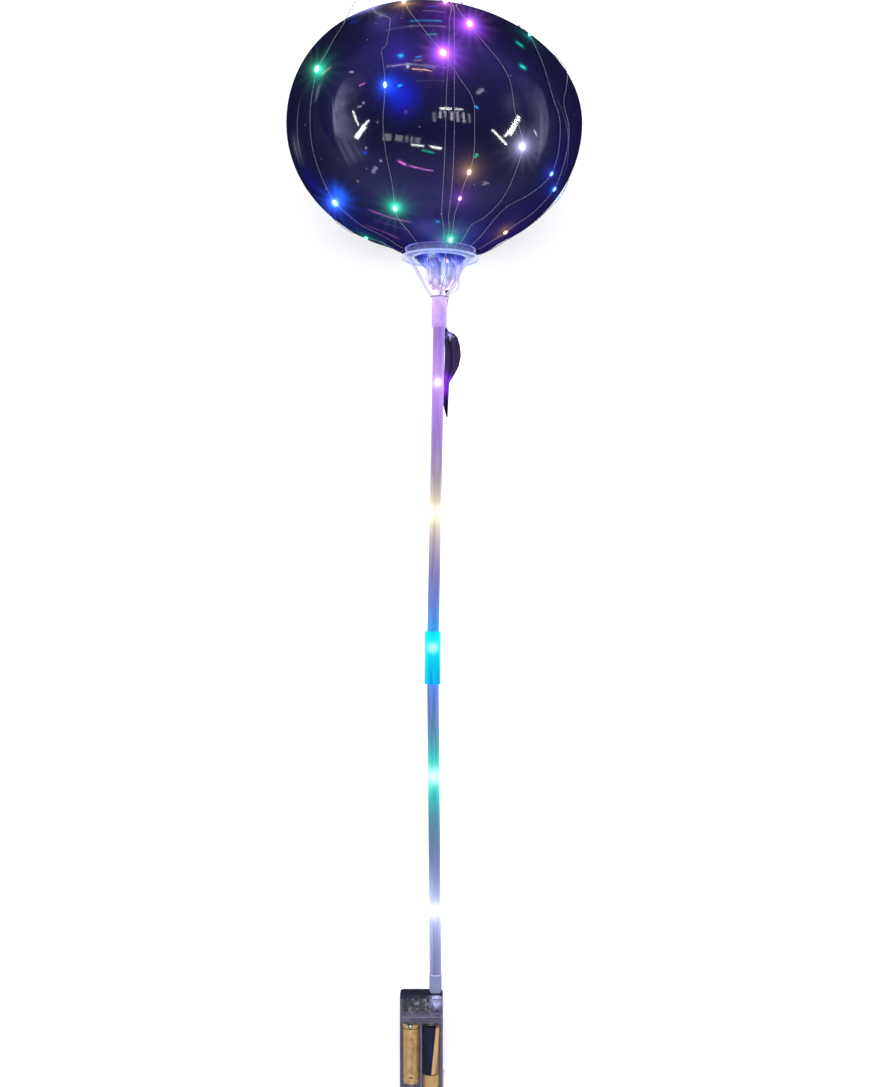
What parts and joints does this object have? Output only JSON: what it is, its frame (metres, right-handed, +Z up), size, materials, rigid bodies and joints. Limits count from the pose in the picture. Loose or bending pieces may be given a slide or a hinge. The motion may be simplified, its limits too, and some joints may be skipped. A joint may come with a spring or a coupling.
{
  "type": "led balloon",
  "caption": "Clear ball balloon seated in a cup holder on a jointed stick, wound with a string of small lights run from a battery case at the stick's foot.",
  "frame": {"origin": "on the ground, under the middle of the box of the lying balloon and stick", "axes": "+Y along the stick towards the balloon, +Z up out of the front as it lies on its back"},
  "size_m": [0.247, 0.8992, 0.2479],
  "materials": {
    "film": null,
    "clear_plastic": "clear moulded plastic",
    "tube_plastic": "frosted clear tube",
    "smoky_plastic": "smoky clear moulded plastic",
    "cell_gold": "printed metal jacket, gold over navy",
    "cell_navy": "printed metal jacket, navy over gold",
    "plated_metal": "nickel-plated spring metal",
    "board": "circuit board with small parts",
    "wire": "fine lacquered copper wire"
  },
  "bodies": {
    "root": {"balloon": "film", "balloon_holder": "clear_plastic", "upper_tube": "tube_plastic", "lower_tube": "tube_plastic", "connector_sleeve": "clear_plastic", "battery_case": "smoky_plastic", "battery_cover": "smoky_plastic", "battery_left": "cell_gold", "battery_right": "cell_navy", "contact_positive": "plated_metal", "contact_negative": "plated_metal", "contact_bridge": "plated_metal", "circuit_board": "board", "light_string": "wire"}
  },
  "joints": []
}
